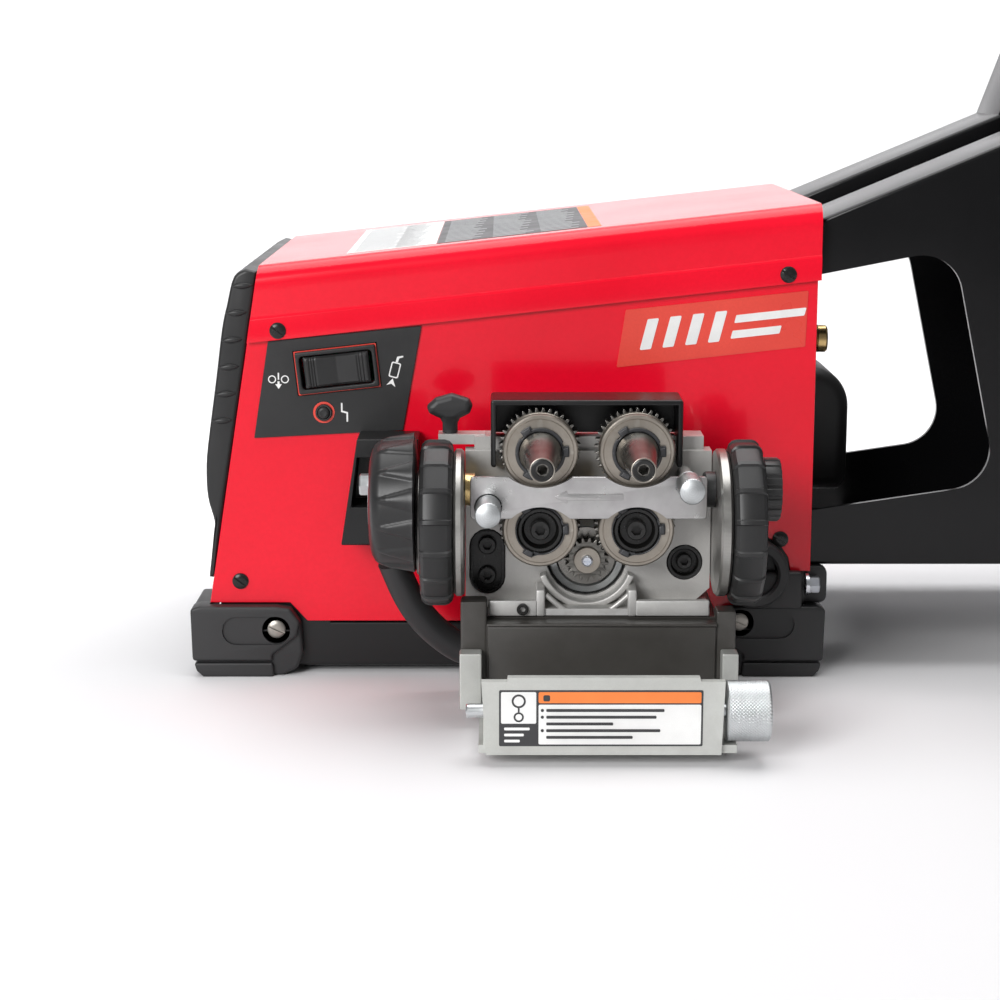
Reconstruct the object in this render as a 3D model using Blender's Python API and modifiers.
"""Bench wire feeder: a sheet-metal case with a four-roll wire drive on its side and a reel stand behind it.

Lengths are in millimetres and MM turns them into metres. x runs from the front to the reel, y from the
drive's side to the far side with 0 on the near side panel, and z up from the ground. place() moves the
whole machine so that the origin is under the middle of its bounding box.
"""

import math

import bmesh
import bpy
from mathutils import Matrix, Vector

MM = 0.001
GAP = 0.35

# Overall box, which sets the origin.
X_FRONT, X_REAR = -181.0, 560.0
Y_NEAR, Y_FAR = -182.4, 246.8
CENTRE = ((X_FRONT + X_REAR) / 2, (Y_NEAR + Y_FAR) / 2, 0.0)

# Case.
CASE_WIDTH = 243.0
CASE_REAR = 182.0
SHEET = 2.0
PANEL_LOW, PANEL_FOOT_LOW, PANEL_REAR_LOW = 32.0, 43.0, 62.0
FRONT_FOOT_X, FRONT_TOP_X = -170.0, -138.0
FRONT_LOW_Z, FRONT_TOP_Z, REAR_TOP_Z = 43.0, 240.0, 275.0
TOP_SLOPE = (REAR_TOP_Z - FRONT_TOP_Z) / (181.0 - FRONT_TOP_X)
FRONT_LEAN = (FRONT_TOP_X - FRONT_FOOT_X) / (FRONT_TOP_Z - FRONT_LOW_Z)
TILT = math.atan(TOP_SLOPE)
SKIRT, SKIRT_JOG, EDGE_RADIUS = 43.0, 28.0, 11.0
TRAY_LOW, TRAY_TOP = 4.0, 31.0
FOOT_HEIGHT, FOOT_PROUD = 40.0, 8.0
RECESS_SIZE, RECESS_FRONT, RECESS_REAR = (39.8, 16.9), (-142.7, 27.75), (151.7, 31.0)
BOSS, BOSS_RADIUS, BOSS_BORE = (148.5, 62.0), 20.0, 13.0

# Switches and knobs, as (x, z) centres on the near side and (y, z) places on the control panel.
ROCKER, ROCKER_SIZE = (-93.5, 181.0), (47.5, 25.0)
BREAKER, BREAKER_RADIUS = (-101.5, 156.0), 5.8
KNOB_Y, KNOB_Z = (72.0, 171.0), 165.0

# Gas fitting on the rear panel, as (y, z).
GAS_INLET = (60.0, 191.5)

# Wire drive: roll stations are (x, z), the wire runs along x.
WIRE_Y, WIRE_Z = -85.0, 126.75
ROLL_X = (21.7, 73.7)
UPPER_Z, LOWER_Z = 148.0, 105.5
ROLL_RADIUS, ROLL_Y = 20.5, (-91.0, -79.5)
GEAR_Y = (-77.0, -70.0)
GEAR_TEETH, PINION_TEETH = 36, 19
MODULE = (UPPER_Z - LOWER_Z) / GEAR_TEETH
PITCH_RADIUS = MODULE * GEAR_TEETH / 2
PINION_PITCH_RADIUS = MODULE * PINION_TEETH / 2
PINION_X = sum(ROLL_X) / 2
PINION_Z = LOWER_Z - math.sqrt(
    (PITCH_RADIUS + PINION_PITCH_RADIUS) ** 2 - (PINION_X - ROLL_X[0]) ** 2
)
PLATE_Y = (-68.0, -54.0)
GUIDE_Y = (-98.4, -95.4)
PLATE_X = (-19.0, 116.0)
SHAFT_RADIUS = 6.0
COLLAR_Z = 108.5
GUN_COLLAR_Z = 119.5
GEARBOX_X, GEARBOX_Z = (1.0, 95.0), (64.0, 136.0)
THUMBSCREWS = ((-6.4, 119.4), (101.0, 132.3))
GUN_SCREW = (-27.6, -52.0)
RING_RADIUS, RECEIVER_RADIUS = 45.0, 29.0
RING_GUN_X, RING_INLET_X = (-43.0, -25.0), (123.3, 141.0)

# Cradle and its clamp.
CLAMP_Y, CLAMP_Z = -167.0, 26.8
BLOCK_X, BLOCK_FRONT = (-9.0, 119.2), -100.0

# Reel stand.
STAND_Y = (7.0, 166.0)
STAND_DEPTH, STAND_SHEET = 70.0, 3.0
SPINDLE = (392.0, 400.0)
HUB_RADIUS = 25.2

SOLIDS = None
CUTTERS = None


def place(point):
    """A machine point in millimetres as a world point in metres."""
    return Vector([(p - c) * MM for p, c in zip(point, CENTRE)])


def top_z(x):
    return FRONT_TOP_Z + (x - FRONT_TOP_X) * TOP_SLOPE


def front_x(z):
    return FRONT_TOP_X - (FRONT_TOP_Z - z) * FRONT_LEAN


def clear_scene():
    for obj in list(bpy.data.objects):
        bpy.data.objects.remove(obj, do_unlink=True)


def new_collection(name):
    collection = bpy.data.collections.new(name)
    bpy.context.scene.collection.children.link(collection)
    return collection


def make_material(name, colour, roughness, metallic):
    material = bpy.data.materials.new(name)
    material.use_nodes = True
    shader = material.node_tree.nodes["Principled BSDF"]
    shader.inputs["Base Color"].default_value = (*colour, 1.0)
    shader.inputs["Roughness"].default_value = roughness
    shader.inputs["Metallic"].default_value = metallic
    return material


# ---------------------------------------------------------------- shape helpers


def add(name, mesh):
    obj = bpy.data.objects.new(name, mesh)
    SOLIDS.objects.link(obj)
    return obj


def bake(obj):
    """Replaces the object's data by its evaluated mesh, welded and with its faces turned outwards."""
    bpy.context.view_layer.update()
    graph = bpy.context.evaluated_depsgraph_get()
    mesh = bpy.data.meshes.new_from_object(obj.evaluated_get(graph))
    work = bmesh.new()
    work.from_mesh(mesh)
    bmesh.ops.remove_doubles(work, verts=work.verts, dist=1e-6)
    bmesh.ops.recalc_face_normals(work, faces=work.faces)
    work.to_mesh(mesh)
    work.free()
    matrix = obj.matrix_world.copy()
    name = obj.name
    bpy.data.objects.remove(obj, do_unlink=True)
    baked = add(name, mesh)
    baked.matrix_world = matrix
    return baked


def box(name, x, y, z, bevel=0.0, segments=2):
    """A box between pairs of limits, with rounded edges where bevel is given."""
    mesh = bpy.data.meshes.new(name)
    work = bmesh.new()
    size = Vector((x[1] - x[0], y[1] - y[0], z[1] - z[0])) * MM
    middle = place([sum(pair) / 2 for pair in (x, y, z)])
    bmesh.ops.create_cube(work, size=1.0, matrix=Matrix.Diagonal((*size, 1.0)))
    work.to_mesh(mesh)
    work.free()
    obj = add(name, mesh)
    obj.location = middle
    if bevel:
        rounding = obj.modifiers.new("edges", "BEVEL")
        rounding.width = bevel * MM
        rounding.segments = segments
    return obj


AXES = {
    "X": Matrix(((0, 0, 1), (1, 0, 0), (0, 1, 0))),
    "Y": Matrix(((1, 0, 0), (0, 0, -1), (0, 1, 0))),
    "Z": Matrix.Identity(3),
}


def prism(name, outline, span, axis="Y", holes=(), bevel=0.0):
    """A flat outline, with holes, extruded between two heights along an axis.

    The outline's two coordinates are (x, z) for Y, (y, z) for X and (x, y) for Z.
    """
    curve = bpy.data.curves.new(name, "CURVE")
    curve.dimensions = "2D"
    curve.fill_mode = "BOTH"
    curve.extrude = abs(span[1] - span[0]) / 2 * MM
    for loop in (outline, *holes):
        spline = curve.splines.new("POLY")
        spline.points.add(len(loop) - 1)
        spline.use_cyclic_u = True
        for point, (u, v) in zip(spline.points, loop):
            point.co = (u * MM, v * MM, 0.0, 1.0)
    obj = add(name, curve)
    middle = sum(span) / 2
    base = {"X": (middle, 0, 0), "Y": (0, middle, 0), "Z": (0, 0, middle)}[axis]
    obj.matrix_world = Matrix.Translation(place(base)) @ AXES[axis].to_4x4()
    obj = bake(obj)
    if bevel:
        rounding = obj.modifiers.new("edges", "BEVEL")
        rounding.width = bevel * MM
        rounding.segments = 2
        rounding.limit_method = "ANGLE"
        rounding.angle_limit = math.radians(50)
    return obj


def lathe(name, profile, centre, axis="Y", steps=24, ring=False):
    """A profile of (radius, place along the axis) turned about an axis through centre."""
    mesh = bpy.data.meshes.new(name)
    work = bmesh.new()
    points = [work.verts.new((r * MM, 0.0, h * MM)) for r, h in profile]
    pairs = list(zip(points, points[1:]))
    if ring:
        pairs.append((points[-1], points[0]))
    for pair in pairs:
        work.edges.new(pair)
    work.to_mesh(mesh)
    work.free()
    obj = add(name, mesh)
    screw = obj.modifiers.new("turn", "SCREW")
    screw.steps = steps
    screw.render_steps = steps
    screw.use_merge_vertices = True
    screw.merge_threshold = 1e-6
    turned = {"X": Matrix(((0, 0, 1), (1, 0, 0), (0, 1, 0))),
              "Y": Matrix(((0, 1, 0), (0, 0, 1), (1, 0, 0))),
              "Z": Matrix.Identity(3)}[axis]
    base = {"X": (0, centre[0], centre[1]), "Y": (centre[0], 0, centre[1]),
            "Z": (centre[0], centre[1], 0)}[axis]
    obj.matrix_world = Matrix.Translation(place(base)) @ turned.to_4x4()
    return bake(obj)


def rod(name, radius, centre, span, axis="Y", steps=16):
    low, high = sorted(span)
    return lathe(name, [(0, high), (radius, high), (radius, low), (0, low)], centre, axis, steps)


def combine(target, others, operation):
    for other in others:
        SOLIDS.objects.unlink(other)
        CUTTERS.objects.link(other)
        other.hide_render = True
        other.display_type = "WIRE"
        boolean = target.modifiers.new(other.name, "BOOLEAN")
        boolean.operation = operation
        boolean.object = other
    return target


def cut(target, *cutters):
    return combine(target, cutters, "DIFFERENCE")


def join(target, *others):
    return combine(target, others, "UNION")


def finish(obj, material, pivot=None, smooth=35.0):
    """Gives a solid its material and shading, and puts its origin on its joint's axis."""
    obj.data.materials.clear()
    obj.data.materials.append(material)
    if pivot is not None:
        target = place(pivot)
        shift = obj.matrix_world.inverted() @ target
        obj.data.transform(Matrix.Translation(-shift))
        obj.matrix_world.translation = target
    obj.data.shade_smooth()
    obj.data.set_sharp_from_angle(angle=math.radians(smooth))
    return obj


def circle(centre, radius, count, start=0.0):
    return [
        (centre[0] + radius * math.cos(start + math.tau * i / count),
         centre[1] + radius * math.sin(start + math.tau * i / count))
        for i in range(count)
    ]


def arc(centre, radius, start, end, count):
    """Points on an arc between two angles in degrees."""
    angles = [math.radians(start + (end - start) * i / (count - 1)) for i in range(count)]
    return [(centre[0] + radius * math.cos(a), centre[1] + radius * math.sin(a)) for a in angles]


def rectangle(centre, size, angle=0.0):
    c, s = math.cos(angle), math.sin(angle)
    half = [(-1, -1), (1, -1), (1, 1), (-1, 1)]
    spots = [(a * size[0] / 2, b * size[1] / 2) for a, b in half]
    return [(centre[0] + u * c - v * s, centre[1] + u * s + v * c) for u, v in spots]


def slot(centre, length, width, angle=0.0, count=9):
    """A rectangle with round ends."""
    reach = (length - width) / 2
    ends = arc((reach, 0), width / 2, -90, 90, count) + arc((-reach, 0), width / 2, 90, 270, count)
    c, s = math.cos(angle), math.sin(angle)
    return [(centre[0] + u * c - v * s, centre[1] + u * s + v * c) for u, v in ends]


def rounded(points, radius, count=4):
    """An outline with its corners rounded."""
    result = []
    for i, corner in enumerate(points):
        here = Vector(corner)
        before = (Vector(points[i - 1]) - here).normalized()
        after = (Vector(points[(i + 1) % len(points)]) - here).normalized()
        half = math.acos(max(-1.0, min(1.0, before.dot(after)))) / 2
        reach = radius / math.tan(half)
        middle = here + (before + after).normalized() * (radius / math.sin(half))
        start = here + before * reach - middle
        end = here + after * reach - middle
        turn = start.angle_signed(end)
        for k in range(count + 1):
            spoke = start.copy()
            spoke.rotate(Matrix.Rotation(-turn * k / count, 2))
            result.append(tuple(middle + spoke))
    return result


def inset(points, distance):
    """A counter-clockwise outline moved inwards by a distance."""
    lines = []
    for i, point in enumerate(points):
        a = Vector(point)
        b = Vector(points[(i + 1) % len(points)])
        along = (b - a).normalized()
        inward = Vector((-along.y, along.x)) * distance
        lines.append((a + inward, along))
    result = []
    for (p, d), (q, e) in zip([lines[-1], *lines[:-1]], lines):
        cross = d.x * e.y - d.y * e.x
        step = ((q - p).x * e.y - (q - p).y * e.x) / cross if abs(cross) > 1e-6 else 0.0
        result.append(tuple(p + d * step) if abs(cross) > 1e-6 else tuple(q))
    return result


# ---------------------------------------------------------------- case


def make_tray(paint):
    tray = box("base_tray", (-166, 176.5), (2.4, 240.6), (TRAY_LOW, TRAY_TOP), 2)
    inside = box("tray_hollow", (-164, 174.5), (4.4, 238.6), (TRAY_LOW + SHEET, 60))
    return finish(cut(tray, inside), paint["black"])


def side_outline():
    rear = CASE_REAR - 0.5
    return [
        (front_x(PANEL_FOOT_LOW), PANEL_FOOT_LOW), (-123, PANEL_FOOT_LOW), (-113, PANEL_LOW),
        (BOSS[0], PANEL_LOW), (BOSS[0], PANEL_REAR_LOW), (rear, PANEL_REAR_LOW),
        (rear, top_z(rear) - 11), (front_x(229), top_z(front_x(229)) - 11),
    ]


def make_side_panels(paint):
    near = prism("side_panel_near", side_outline(), (0, SHEET))
    cut(
        near,
        prism("rocker_window", rectangle(ROCKER, (ROCKER_SIZE[0] + 1, ROCKER_SIZE[1] + 1), TILT), (-5, 8)),
        rod("breaker_window", BREAKER_RADIUS + 0.4, BREAKER, (-5, 8)),
        box("gearbox_window", (GEARBOX_X[0] - 1, GEARBOX_X[1] + 1), (-5, 8), (GEARBOX_Z[0] - 1, GEARBOX_Z[1] + 1)),
        rod("boss_window_near", BOSS_RADIUS + 1.5, BOSS, (-5, 8)),
    )
    finish(near, paint["red"])
    far = prism("side_panel_far", side_outline(), (CASE_WIDTH - SHEET, CASE_WIDTH))
    finish(far, paint["red"])


def make_cover(paint):
    """The folded lid: an open strip along the case, given its thickness by Solidify."""
    skin = -(SHEET + 0.3)
    jog = skin - 1.0
    near = [(jog, SKIRT), (jog, SKIRT_JOG + 1.5), (skin, SKIRT_JOG)]
    near += [(skin + EDGE_RADIUS - u, EDGE_RADIUS - v) for u, v in arc((0, 0), EDGE_RADIUS, 0, 90, 6)]
    section = near + [(CASE_WIDTH - y, d) for y, d in reversed(near)]
    mesh = bpy.data.meshes.new("top_cover")
    work = bmesh.new()
    rows = []
    for y, depth in section:
        low_x = front_x(FRONT_TOP_Z - depth)
        pair = [work.verts.new(place((x, y, top_z(x) - depth))) for x in (low_x, CASE_REAR + 1)]
        rows.append(pair)
    for (a, b), (c, d) in zip(rows, rows[1:]):
        work.faces.new((a, b, d, c))
    work.to_mesh(mesh)
    work.free()
    cover = add("top_cover", mesh)
    shell = cover.modifiers.new("sheet", "SOLIDIFY")
    shell.thickness = SHEET * MM
    shell.offset = -1.0
    shell.use_even_offset = True
    return finish(cover, paint["red"])


def bezel_outline():
    outer = [(-141, 237.5), (-152, 234), (-159, 204), (-163.5, 175), (-168, 145), (-170.6, 125),
             (-170, 104), (-165.6, 90), (-170.6, 58)]
    inner = [(front_x(z) - GAP, z) for z in (58, 148, 236)]
    return outer + inner


def make_bezel(paint):
    bezel = prism("front_bezel", bezel_outline(), (-0.5, CASE_WIDTH + 0.5))
    cut(bezel, box("bezel_window", (-200, -110), (24, CASE_WIDTH - 24), (76, 218)))
    edge = [(-152, 234), (-159, 204), (-163.5, 175), (-168, 145)]
    for i in range(6):
        z = 229 - 15.6 * i
        part = next(k for k in range(3) if z >= edge[k + 1][1])
        (x0, z0), (x1, z1) = edge[part], edge[part + 1]
        x = x0 + (x1 - x0) * (z - z0) / (z1 - z0)
        rib = rectangle((x + 4.0, z), (11, 4.0), TILT)
        join(bezel, prism(f"bezel_rib_{i}", rib, (-2.5, CASE_WIDTH + 2.5)))
    rear = box("bezel_rib_limit", (-180, -100), (24, CASE_WIDTH - 24), (76, 218))
    cut(bezel, rear)
    return finish(bezel, paint["moulding"])


def make_control_panel(paint):
    """The leaning front plate inside the bezel and its two knobs."""
    z_low, z_high = 76.5, 217.5
    outline = [(front_x(z) - d, z) for z, d in
               ((z_low, 1.2), (z_high, 1.2), (z_high, 4.2), (z_low, 4.2))]
    plate = prism("control_panel", outline, (24.5, CASE_WIDTH - 24.5))
    finish(plate, paint["black"])
    out = Vector((-math.cos(math.atan(FRONT_LEAN)), 0, math.sin(math.atan(FRONT_LEAN))))
    for name, y in (("knob_wire_speed", KNOB_Y[0]), ("knob_voltage", KNOB_Y[1])):
        profile = [(0, 15), (9, 15), (11, 13), (12.5, 1), (12.5, 0), (0, 0)]
        knob = lathe(name, profile, (0, 0), "Z", 20)
        base = Vector((front_x(KNOB_Z) - 4.6, y, KNOB_Z))
        turn = Vector((0, 0, 1)).rotation_difference(out).to_matrix().to_4x4()
        knob.matrix_world = Matrix.Translation(place(base)) @ turn
        finish(knob, paint["moulding"])


def make_rear(paint):
    panel = box("rear_panel", (177, 179), (2.6, 240.4), (36, 268))
    finish(panel, paint["black"])
    boot = box("rear_boot", (179.4, 216), (88, 164), (93, 170), 15, 3)
    finish(boot, paint["rubber"])
    stub = [(0, 196), (7.4, 196), (8.2, 195), (8.2, 186), (9.8, 185), (9.8, 179.4), (0, 179.4)]
    fitting = lathe("gas_fitting", stub, GAS_INLET, "X", 16)
    finish(fitting, paint["brass"])


def foot_outline(rear):
    """Counter-clockwise outline of a foot, mirrored at the rear."""
    points = [(-181, 37), (-179, FOOT_HEIGHT), (-135, FOOT_HEIGHT), (-123, 36.5), (-116, 28),
              (-115, 14), (-119, 3), (-128, 0), (-173, 0), (-178, 4)]
    return [(9 - x, z) for x, z in points] if rear else points


def make_feet(paint):
    """Moulded corner bumpers: the rear near one carries the ring around the base's lift point."""
    wall, long_side, recess_depth = 10.5, 45, 2.5
    for name, rear, far in (("foot_front_near", 0, 0), ("foot_front_far", 0, 1),
                            ("foot_rear_near", 1, 0), ("foot_rear_far", 1, 1)):
        span = (-FOOT_PROUD, long_side)
        hollow_y = (-GAP, 60)
        hollow_x = (X_FRONT + wall, -60)
        if rear:
            hollow_x = (69, 190 - wall)
        if far:
            span = (CASE_WIDTH - long_side, Y_FAR)
            hollow_y = (CASE_WIDTH - 60, CASE_WIDTH + GAP)
        foot = prism(name, foot_outline(rear), span)
        hollow = box(f"{name}_hollow", hollow_x, hollow_y, (TRAY_LOW - GAP, 60))
        cut(foot, hollow)
        if not far:
            recess = prism(f"{name}_recess", slot(RECESS_REAR if rear else RECESS_FRONT, *RECESS_SIZE),
                           (-20, -FOOT_PROUD + recess_depth))
            cut(foot, recess)
            if rear:
                ring = lathe("boss_ring", [(BOSS_RADIUS, -12), (BOSS_RADIUS, -0.4), (BOSS_BORE, -0.4),
                                           (BOSS_BORE, -12)], BOSS, "Y", 28, True)
                neck = box("boss_neck", (158, 176), (-FOOT_PROUD, -0.6), (38, 62))
                join(foot, neck, ring)
        finish(foot, paint["rubber"])


def make_legend(paint):
    corners = [(-133, 197), (-142, 141), (-56, 145.5), (-45, 206)]
    plate = prism("legend_plate", corners, (-1.4, -GAP))
    cut(
        plate,
        prism("legend_rocker", rectangle(ROCKER, (ROCKER_SIZE[0] + 1, ROCKER_SIZE[1] + 1), TILT), (-5, 5)),
        rod("legend_breaker", BREAKER_RADIUS + 0.4, BREAKER, (-5, 5)),
    )
    finish(plate, paint["black"])


def make_rocker(paint):
    """A momentary rocker: its frame clips in the panel, and its paddle tips about an upright pivot."""
    inner = (ROCKER_SIZE[0] - 6, ROCKER_SIZE[1] - 6)
    frame = prism("rocker_bezel", rectangle(ROCKER, ROCKER_SIZE, TILT), (-4, 9),
                  holes=[rectangle(ROCKER, inner, TILT)])
    finish(frame, paint["moulding"])
    half = inner[0] / 2 - 1.0
    section = [(-half, -4.5), (0, -2.6), (half, -4.5), (half, 1), (6, 7), (-6, 7), (-half, 1)]
    paddle = prism("rocker_paddle", section, (-(inner[1] / 2 - 0.8), inner[1] / 2 - 0.8), "Z")
    paddle.matrix_world = (
        Matrix.Translation(place((ROCKER[0], 0, ROCKER[1])))
        @ Matrix.Rotation(-TILT, 4, "Y")
        @ Matrix.Translation(-place((0, 0, 0)))
        @ paddle.matrix_world
    )
    paddle.data.transform(paddle.matrix_world)
    paddle.matrix_world = Matrix.Identity(4)
    finish(paddle, paint["moulding"], (ROCKER[0], 3.0, ROCKER[1]))


def make_breaker(paint):
    profile = [(0, -5.5), (3.4, -5.5), (4.4, -4.6), (4.4, 8), (0, 8)]
    button = lathe("breaker_button", profile, BREAKER, "Y", 20)
    finish(button, paint["red"])


def make_inside(paint):
    board = box("control_board", (-120, -20), (200, 202), (50, 190))
    chips = box("board_parts", (-110, -30), (186, 200.5), (70, 120))
    finish(join(board, chips), paint["board"])
    motor = rod("drive_motor", 31.5, ((GEARBOX_X[0] + GEARBOX_X[1]) / 2, 100), (26, 168), steps=16)
    finish(motor, paint["black"])


# ---------------------------------------------------------------- drive


def gear_outline(teeth, phase):
    """Trapezoid teeth, thinner than half the pitch so that a running pair never binds."""
    pitch = math.tau / teeth
    radius = MODULE * teeth / 2
    tip, root = radius + 0.85 * MODULE, radius - 1.15 * MODULE
    points = []
    for i in range(teeth):
        middle = phase + i * pitch
        for r, half in ((root, -0.30), (tip, -0.12), (tip, 0.12), (root, 0.30)):
            a = middle + half * pitch
            points.append((r * math.cos(a), r * math.sin(a)))
    return points


def meshed_phase(centre, teeth, phase, other, other_teeth):
    """The phase that puts a gap of the other gear on the first gear's tooth along the line of centres."""
    line = math.atan2(other[1] - centre[1], other[0] - centre[0])
    pitch = math.tau / teeth
    offset = (phase - line) % pitch
    other_pitch = math.tau / other_teeth
    gap = line + math.pi - offset * teeth / other_teeth
    return gap + other_pitch / 2


def stations():
    """Each roll's name, centre and gear phase, and the pinion's phase."""
    left_low, right_low = (ROLL_X[0], LOWER_Z), (ROLL_X[1], LOWER_Z)
    left_up, right_up = (ROLL_X[0], UPPER_Z), (ROLL_X[1], UPPER_Z)
    pinion = (PINION_X, PINION_Z)
    pinion_phase = meshed_phase(left_low, GEAR_TEETH, 0.0, pinion, PINION_TEETH)
    right_phase = meshed_phase(pinion, PINION_TEETH, pinion_phase, right_low, GEAR_TEETH)
    rows = [
        ("lower_left", left_low, 0.0),
        ("upper_left", left_up, meshed_phase(left_low, GEAR_TEETH, 0.0, left_up, GEAR_TEETH)),
        ("lower_right", right_low, right_phase),
        ("upper_right", right_up, meshed_phase(right_low, GEAR_TEETH, right_phase, right_up, GEAR_TEETH)),
    ]
    return rows, pinion_phase


def make_rolls(paint):
    rows, pinion_phase = stations()
    for name, centre, phase in rows:
        pivot = (centre[0], WIRE_Y, centre[1])
        outline = [(centre[0] + u, centre[1] + v) for u, v in gear_outline(GEAR_TEETH, phase)]
        gear = prism(f"drive_gear_{name}", outline, GEAR_Y)
        nose = [(10.2, -96), (9.2, -97)]
        if name.startswith("upper"):
            nose = [(10.2, -95), (9.6, -97), (6.9, -142), (6.3, -145)]
        profile = [(0, -57), (SHAFT_RADIUS, -57), (SHAFT_RADIUS, -71), (12.3, -76), (12.3, -91), (10.2, -91)]
        shaft = lathe(f"shaft_{name}", profile + nose + [(0, nose[-1][1])], centre, "Y", 16)
        join(gear, shaft)
        socket = prism(f"socket_{name}", circle(centre, 3.6, 6, 0.3), (nose[-1][1] - 5, nose[-1][1] + 6))
        cut(gear, socket)
        finish(gear, paint["steel"], pivot)
        groove = 0.9
        ring = [(12.7, ROLL_Y[0]), (19.6, ROLL_Y[0]), (ROLL_RADIUS, ROLL_Y[0] + 0.9),
                (ROLL_RADIUS, WIRE_Y - groove), (ROLL_RADIUS - groove, WIRE_Y),
                (ROLL_RADIUS, WIRE_Y + groove), (ROLL_RADIUS, ROLL_Y[1]), (12.7, ROLL_Y[1])]
        roll = lathe(f"drive_roll_{name}", ring, centre, "Y", 24, True)
        finish(roll, paint["roll"], pivot)
        lobes = []
        for i in range(24):
            a = math.tau * i / 24
            r = 13.4 + 1.3 * math.cos(3 * (a - 2.0))
            lobes.append((centre[0] + r * math.cos(a), centre[1] + r * math.sin(a)))
        lock = prism(f"roll_lock_{name}", lobes, (-94.6, -91.35), holes=[circle(centre, 10.6, 24)])
        finish(lock, paint["moulding"], pivot)
    outline = [(PINION_X + u, PINION_Z + v) for u, v in gear_outline(PINION_TEETH, pinion_phase)]
    pinion = prism("output_pinion", outline, GEAR_Y)
    profile = [(0, -67.3), (5, -67.3), (5, -75), (7.2, -76), (7.2, -80), (3, -80), (2.6, -82), (0, -82)]
    join(pinion, lathe("pinion_hub", profile, (PINION_X, PINION_Z), "Y", 12))
    finish(pinion, paint["steel"], (PINION_X, WIRE_Y, PINION_Z))


def plate_outline():
    return [(-17, 57), (104, 57), (PLATE_X[1], 68), (PLATE_X[1], 145), (-19, 145), (PLATE_X[0], 62)]


def make_feed_plate(paint):
    """The casting that carries the rolls: ledge above, flange below, posts for the guide plate."""
    plate = prism("feed_plate", plate_outline(), PLATE_Y)
    join(
        plate,
        box("plate_ledge", (-14, 112), (-62, -42), (141, 152)),
        box("plate_lug", (-34, -8), (-58.5, -45), (147, 152.5)),
        box("plate_flange", (-6.5, 114.5), (-88, -60), (57.2, 61)),
        rod("post_left", 4.2, THUMBSCREWS[0], (GUIDE_Y[1] + GAP, -64), steps=16),
        rod("post_right", 4.2, THUMBSCREWS[1], (GUIDE_Y[1] + GAP, -64), steps=16),
    )
    bores = [rod(f"bore_{i}", SHAFT_RADIUS + 0.4, c, (-80, -40), steps=16)
             for i, c in enumerate([(x, z) for x in ROLL_X for z in (UPPER_Z, LOWER_Z)])]
    cut(
        plate,
        *bores,
        rod("nose_bore", 22.5, (PINION_X, PINION_Z), (-80, -40), steps=24),
        prism("bolt_recess", slot((-7, 83), 37, 20, math.pi / 2), (-80, -62)),
        rod("bolt_recess_right", 10.0, (102, 82.5), (-80, -62), steps=24),
        rod("stud_bore_left", 3.4, THUMBSCREWS[0], (-99, -40), steps=12),
        rod("stud_bore_right", 3.4, THUMBSCREWS[1], (-99, -40), steps=12),
        rod("lug_bore", 3.4, GUN_SCREW, (140, 160), "Z", steps=12),
    )
    finish(plate, paint["cast"])




def make_gearbox(paint):
    gearbox = box("gearbox", GEARBOX_X, (-53.6, 25.6), GEARBOX_Z, 4)
    nose = lathe("gearbox_nose", [(0, -66.6), (15, -66.6), (17, -65), (21.8, -63), (21.8, -50), (0, -50)],
                 (PINION_X, PINION_Z), "Y", 24)
    finish(join(gearbox, nose), paint["cast"])


def make_hood(paint):
    hood = box("gear_hood", (-5, 99), (-82, -50), (138, 175), 1.5)
    inside = box("hood_hollow", (-2.3, 96.3), (-100, -52.7), (100, 172.3))
    step = box("hood_step", (-20, 120), (-68.4, -30), (100, 152.5 + GAP))
    finish(cut(hood, inside, step), paint["black"])


def make_guide_plate(paint):
    """The zinc-plated outer guide, notched around the four rolls."""
    front, back = GUIDE_Y
    outline = rounded([(-16, 113), (111, 113), (111, 136), (-16, 136)], 2.5, 3)
    plate = prism("guide_plate", outline, GUIDE_Y)
    notches = []
    for x in ROLL_X:
        for label, edge, radius in (("upper", 130.0, 28.0), ("lower", 119.5, -23.0)):
            notch = rod(f"notch_{label}_{x:.0f}", abs(radius), (x, edge + radius), (front - 9, back + 2), steps=40)
            notches.append(notch)
    holes = [rod(f"plate_hole_{i}", 3.4, c, (front - 9, back + 9), steps=12) for i, c in enumerate(THUMBSCREWS)]
    ears = [rod(f"plate_ear_{i}", 8.0, c, GUIDE_Y, steps=16) for i, c in enumerate(THUMBSCREWS)]
    join(plate, *ears)
    cut(plate, *notches, *holes)
    finish(plate, paint["zinc"])
    for name, centre in zip(("guide_thumbscrew_left", "guide_thumbscrew_right"), THUMBSCREWS):
        profile = [(0, -57), (3, -57), (3, front - GAP), (7, front - GAP), (7, -121), (6.2, -122), (0, -122)]
        screw = lathe(name, profile, centre, "Y", 16)
        finish(screw, paint["zinc"], (centre[0], WIRE_Y, centre[1]))


def make_wire_guides(paint):
    """The middle guide between the roll pairs, and the brass outlet guide at the gun's end."""
    guide = box("middle_guide", (36.5, 58.9), (-87.5, -80.5), (123.6, 129.9))
    join(guide, box("guide_post", (45.2, 50.2), (-84, -68 - GAP), (123.8, 129.7)))
    cut(guide, rod("guide_bore", 1.2, (WIRE_Y, WIRE_Z), (20, 80), "X", 8))
    finish(guide, paint["brass"])
    profile = [(1.2, -18.9), (9, -18.9), (9, -13.5), (2.6, -12), (2.6, 2), (1.2, 2)]
    outlet = lathe("outlet_guide", profile, (WIRE_Y, WIRE_Z), "X", 12, True)
    finish(outlet, paint["brass"])


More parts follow.
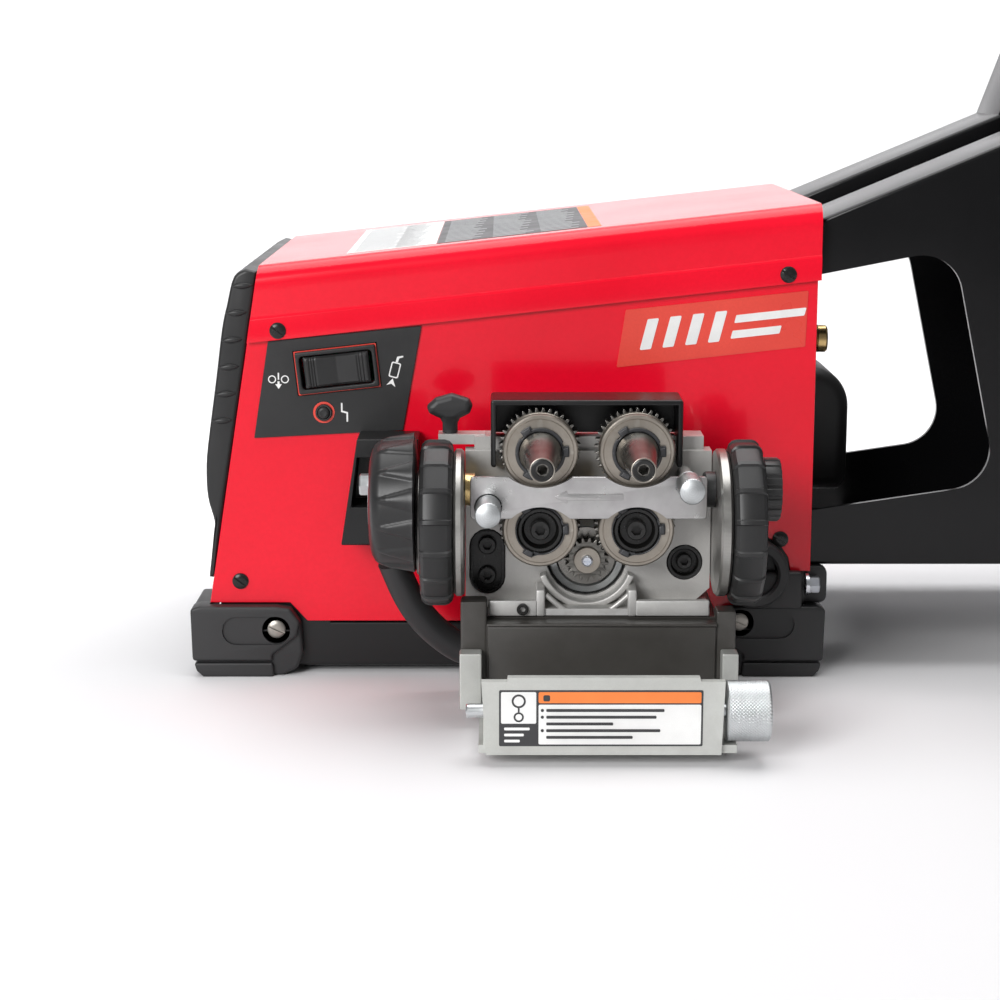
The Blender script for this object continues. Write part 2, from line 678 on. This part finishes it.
def make_receivers(paint):
    """The round ends of the drive, which hold the gun at the front and the wire conduit at the rear."""
    centre = (WIRE_Y, COLLAR_Z)
    r = RECEIVER_RADIUS
    gun = lathe("gun_receiver", [(0, -45), (r, -45), (r, -24.6), (40, -24.6), (40, -19.35), (0, -19.35)],
                centre, "X", 24)
    cut(gun, rod("gun_wire_bore", 3.4, (WIRE_Y, WIRE_Z), (-60, 0), "X", 12))
    finish(gun, paint["cast"])
    inlet = lathe("inlet_receiver", [(0, 116.35), (40, 116.35), (40, 122.9), (r, 122.9), (r, 142), (0, 142)],
                  centre, "X", 24)
    guide = [(0, 107), (3.2, 107), (3.2, 110), (9.8, 110), (9.8, 118), (0, 118)]
    join(inlet, lathe("inlet_guide", guide, (WIRE_Y, WIRE_Z), "X", 12))
    cut(inlet, rod("inlet_wire_bore", 1.6, (WIRE_Y, WIRE_Z), (90, 150), "X", 8))
    finish(inlet, paint["cast"])
    for name, span in (("clamp_ring_gun", RING_GUN_X), ("clamp_ring_inlet", RING_INLET_X)):
        flats = 16
        outline = []
        for i in range(flats):
            for share, reach in ((0.0, 0.0), (0.1, -2.4), (0.42, -2.4), (0.5, -0.6), (0.58, -2.4), (0.9, -2.4)):
                a = math.tau * (i + share) / flats
                radius = RING_RADIUS + reach
                outline.append((centre[0] + radius * math.cos(a), centre[1] + radius * math.sin(a)))
        ring = prism(name, outline, span, "X", holes=[circle(centre, r + 0.9, 24)])
        finish(ring, paint["moulding"], ((span[0] + span[1]) / 2, *centre))
    dome = [(0, -70.6), (16, -70.6), (24, -70), (30, -68.4), (33.8, -65.5), (35.6, -59), (38, -47.5), (38, -45.4),
            (0, -45.4)]
    cone = lathe("gun_collar", dome, (WIRE_Y, GUN_COLLAR_Z), "X", 28)
    cut(cone, rod("collar_bore", 9.0, (WIRE_Y, GUN_COLLAR_Z), (-80, -60), "X", 16),
        rod("collar_wire_bore", 3.4, (WIRE_Y, WIRE_Z), (-80, -40), "X", 12))
    finish(cone, paint["moulding"])
    nut = lathe("inlet_nut", [(4, 142.4), (17.3, 142.4), (17.3, 149), (15, 151), (4, 151)],
                (WIRE_Y, WIRE_Z), "X", 16, True)
    finish(nut, paint["moulding"], (146.5, WIRE_Y, WIRE_Z))


def make_gun_screw(paint):
    """The tee-headed screw that clamps the gun in its receiver."""
    x, y = GUN_SCREW
    wing = [(x - 13, 167), (x - 11.5, 163), (x, 158.5), (x + 11, 163), (x + 13, 168), (x + 11, 172),
            (x, 175), (x - 9, 171.5)]
    screw = prism("gun_thumbscrew", wing, (y - 5, y + 5), bevel=2.0)
    join(screw, rod("thumb_stem", 4.2, GUN_SCREW, (152.9, 164), "Z", 12),
         rod("thumb_stud", 3.0, GUN_SCREW, (147.2, 156), "Z", 12))
    finish(screw, paint["moulding"], (x, y, 160))


def make_bracket(paint):
    """The cable bracket on the side panel: a slanted box with an open front and a plate over the cable's end."""
    outline = [(-90.5, 84), (-48, 84), (-46, 145.3), (-80.7, 145.3)]
    bracket = prism("drive_bracket", outline, (-31, -GAP))
    join(bracket, box("cable_plate", (-70, -50), (-64, -28), (84.9, 87)))
    cut(
        bracket,
        box("legend_clearance", (-95, -40), (-1.75, 5), (140.6, 150)),
        prism("bracket_hollow", [(-84.6, 106), (-56, 106), (-56, 134.5), (-81, 134.5)], (-60, -5)),
    )
    finish(bracket, paint["black"])


def make_insulator(paint):
    """The moulded block under the drive, with a cheek at each end of its front."""
    cheek = (BLOCK_FRONT - 0.6, BLOCK_FRONT + 14)
    block = box("insulator_block", BLOCK_X, (BLOCK_FRONT, -GAP), (12, 56.8), 2)
    join(
        block,
        box("cheek_left", (-21.4, -7), cheek, (13, 68), 1.5),
        box("cheek_right", (117, 127.6), cheek, (13, 62.6), 1.5),
    )
    cut(block, box("block_step", (-7.4, 117.4), (-110, -89), (56, 80)))
    finish(block, paint["moulding"])


def make_cradle(paint):
    """The cast frame in front: a flat plate on a shelf, two ears on the block's cheeks, and lugs for the clamp."""
    front, back = -178.0, -173.2
    ear = (BLOCK_FRONT - 12, BLOCK_FRONT - 1)
    face = [(-7.3, 6.5), (112.9, 6.5), (114.4, 45.2), (101.8, 45.2), (101.5, 47.3), (3.9, 47.3), (3.6, 45.2),
            (-9.5, 45.2)]
    cradle = prism("cradle", face, (front, back))
    join(
        cradle,
        box("cradle_shelf", (-11, 121), (-175, BLOCK_FRONT + 40), (6.6, 10.9)),
        box("cradle_ear_left", (-21.8, -9.8), ear, (10.5, 41.9), 1),
        box("cradle_ear_right", (119.3, 128.2), ear, (10.5, 41.9), 1),
        box("clamp_lug_left", (-8.5, -3), (-175, -158), (9, 36)),
        box("clamp_lug_right", (106.5, 112), (-175, -158), (9, 36)),
    )
    cut(cradle, rod("bolt_bore", 4.2, (CLAMP_Y, CLAMP_Z), (-60, 160), "X", 16))
    finish(cradle, paint["cast"])
    profile = [(0, -17.5), (2.8, -17.5), (3.6, -16.7), (3.6, 115.6), (14.6, 115.6), (15.4, 116.6),
               (15.4, 137.2), (14.6, 138.2), (0, 138.2)]
    knob = lathe("cradle_knob", profile, (CLAMP_Y, CLAMP_Z), "X", 20)
    finish(knob, paint["zinc"], (127, CLAMP_Y, CLAMP_Z))


def make_cable(paint):
    """The thick electrode cable from the bracket down to the insulator block, on one smooth curve."""
    route = [(-60, -58, 81), (-57.5, -56, 74), (-54, -53, 64), (-48, -50, 52), (-40, -47, 41), (-30, -45, 32),
             (-21, -44, 26), (-15, -44, 25), (-9.4, -44, 25)]
    curve = bpy.data.curves.new("electrode_cable", "CURVE")
    curve.dimensions = "3D"
    curve.bevel_depth = 8.5 * MM
    curve.bevel_resolution = 3
    curve.use_fill_caps = True
    spline = curve.splines.new("POLY")
    spline.points.add(len(route) - 1)
    for point, spot in zip(spline.points, route):
        point.co = (*place(spot), 1.0)
    finish(bake(add("electrode_cable", curve)), paint["rubber"])


# ---------------------------------------------------------------- reel stand


def stand_outlines():
    """Counter-clockwise outlines of a stand frame, and of the window that opens its web against the case."""
    front = 179.4
    sx, sz = SPINDLE
    lower = [(front, 64)] + arc((508, 50), 14, 90, 0, 4) + [(522, 8), (560, 8)]
    rear = [(560, 96)] + arc((530, 96), 30, 20, 80, 3) + [(478, 140), (448, 300)]
    head = arc((sx, sz), 44, 0, 150, 9)
    arm = [(318, 322), (253, 295), (front, 264.5)]
    right = arc((261.6, 132.6), 23.8, -81, 12.8, 6) + arc((241.9, 221.5), 24, 12.8, 102, 6)
    window = [(front - 5, 95)] + right + [(front - 5, 232)]
    return lower + rear + head + arm, window


def make_stand(paint):
    """Two folded frames with flanges round the outside, tied by a plate and a foot."""
    outline, window = stand_outlines()
    inner = inset(outline, STAND_SHEET)
    for name, y in zip(("stand_frame_near", "stand_frame_far"), STAND_Y):
        frame = prism(name, outline, (y, y + STAND_DEPTH))
        past = y + STAND_DEPTH + 5
        pan = prism(f"{name}_pan", inner, (y + STAND_SHEET, past))
        opening = prism(f"{name}_window", window, (y - 5, past))
        bore = rod(f"{name}_bore", 12.5, SPINDLE, (y - 5, past))
        finish(cut(frame, pan, opening, bore), paint["black"])
    span = (STAND_Y[0] + STAND_DEPTH + GAP, STAND_Y[1] - GAP)
    plate = box("stand_cross_plate", (226, 540), span, (64.3, 67.3))
    lip = box("cross_plate_lip", (537, 540), span, (64.3, 95))
    finish(join(plate, lip), paint["black"])
    foot = box("stand_foot", (523, 559), (STAND_Y[0], STAND_Y[1] + STAND_DEPTH), (0, 7.6), 2)
    finish(foot, paint["rubber"])


def make_spindle(paint):
    """The reel spindle through both frames, and the braked hub that the reel sits on."""
    profile = [(0, 195), (12, 195), (12, 5), (12, -98), (0, -98)]
    shaft = lathe("reel_spindle", profile, SPINDLE, "Y", 20)
    finish(shaft, paint["steel"])
    ring = [(12.4, -96), (HUB_RADIUS - 2, -96), (HUB_RADIUS, -94), (HUB_RADIUS, -8), (40, -8), (40, 2), (12.4, 2)]
    hub = lathe("reel_hub", ring, SPINDLE, "Y", 24, True)
    pin = rod("drive_pin", 5.0, (SPINDLE[0], SPINDLE[1] - 33), (-24, -6), steps=12)
    finish(join(hub, pin), paint["moulding"], (SPINDLE[0], -40, SPINDLE[1]))


def main():
    global SOLIDS, CUTTERS
    clear_scene()
    SOLIDS = new_collection("wire_feeder")
    CUTTERS = new_collection("cutters")
    paint = {
        "red": make_material("red_paint", (0.72, 0.01, 0.02), 0.25, 0.0),
        "black": make_material("black_paint", (0.02, 0.02, 0.02), 0.4, 0.0),
        "moulding": make_material("black_moulding", (0.03, 0.03, 0.03), 0.5, 0.0),
        "rubber": make_material("black_rubber", (0.02, 0.02, 0.02), 0.7, 0.0),
        "cast": make_material("cast_aluminium", (0.62, 0.63, 0.64), 0.4, 1.0),
        "steel": make_material("machined_steel", (0.35, 0.34, 0.33), 0.35, 1.0),
        "roll": make_material("roll_steel", (0.55, 0.5, 0.44), 0.35, 1.0),
        "zinc": make_material("zinc_plate", (0.7, 0.72, 0.76), 0.3, 1.0),
        "brass": make_material("brass", (0.75, 0.55, 0.25), 0.3, 1.0),
        "board": make_material("circuit_board", (0.02, 0.2, 0.08), 0.5, 0.0),
    }
    for make in (make_tray, make_side_panels, make_cover, make_bezel, make_control_panel, make_rear, make_feet,
                 make_legend, make_rocker, make_breaker, make_inside, make_rolls, make_feed_plate, make_gearbox,
                 make_hood, make_guide_plate, make_wire_guides, make_receivers, make_gun_screw, make_bracket,
                 make_insulator, make_cradle, make_cable, make_stand, make_spindle):
        make(paint)


main()
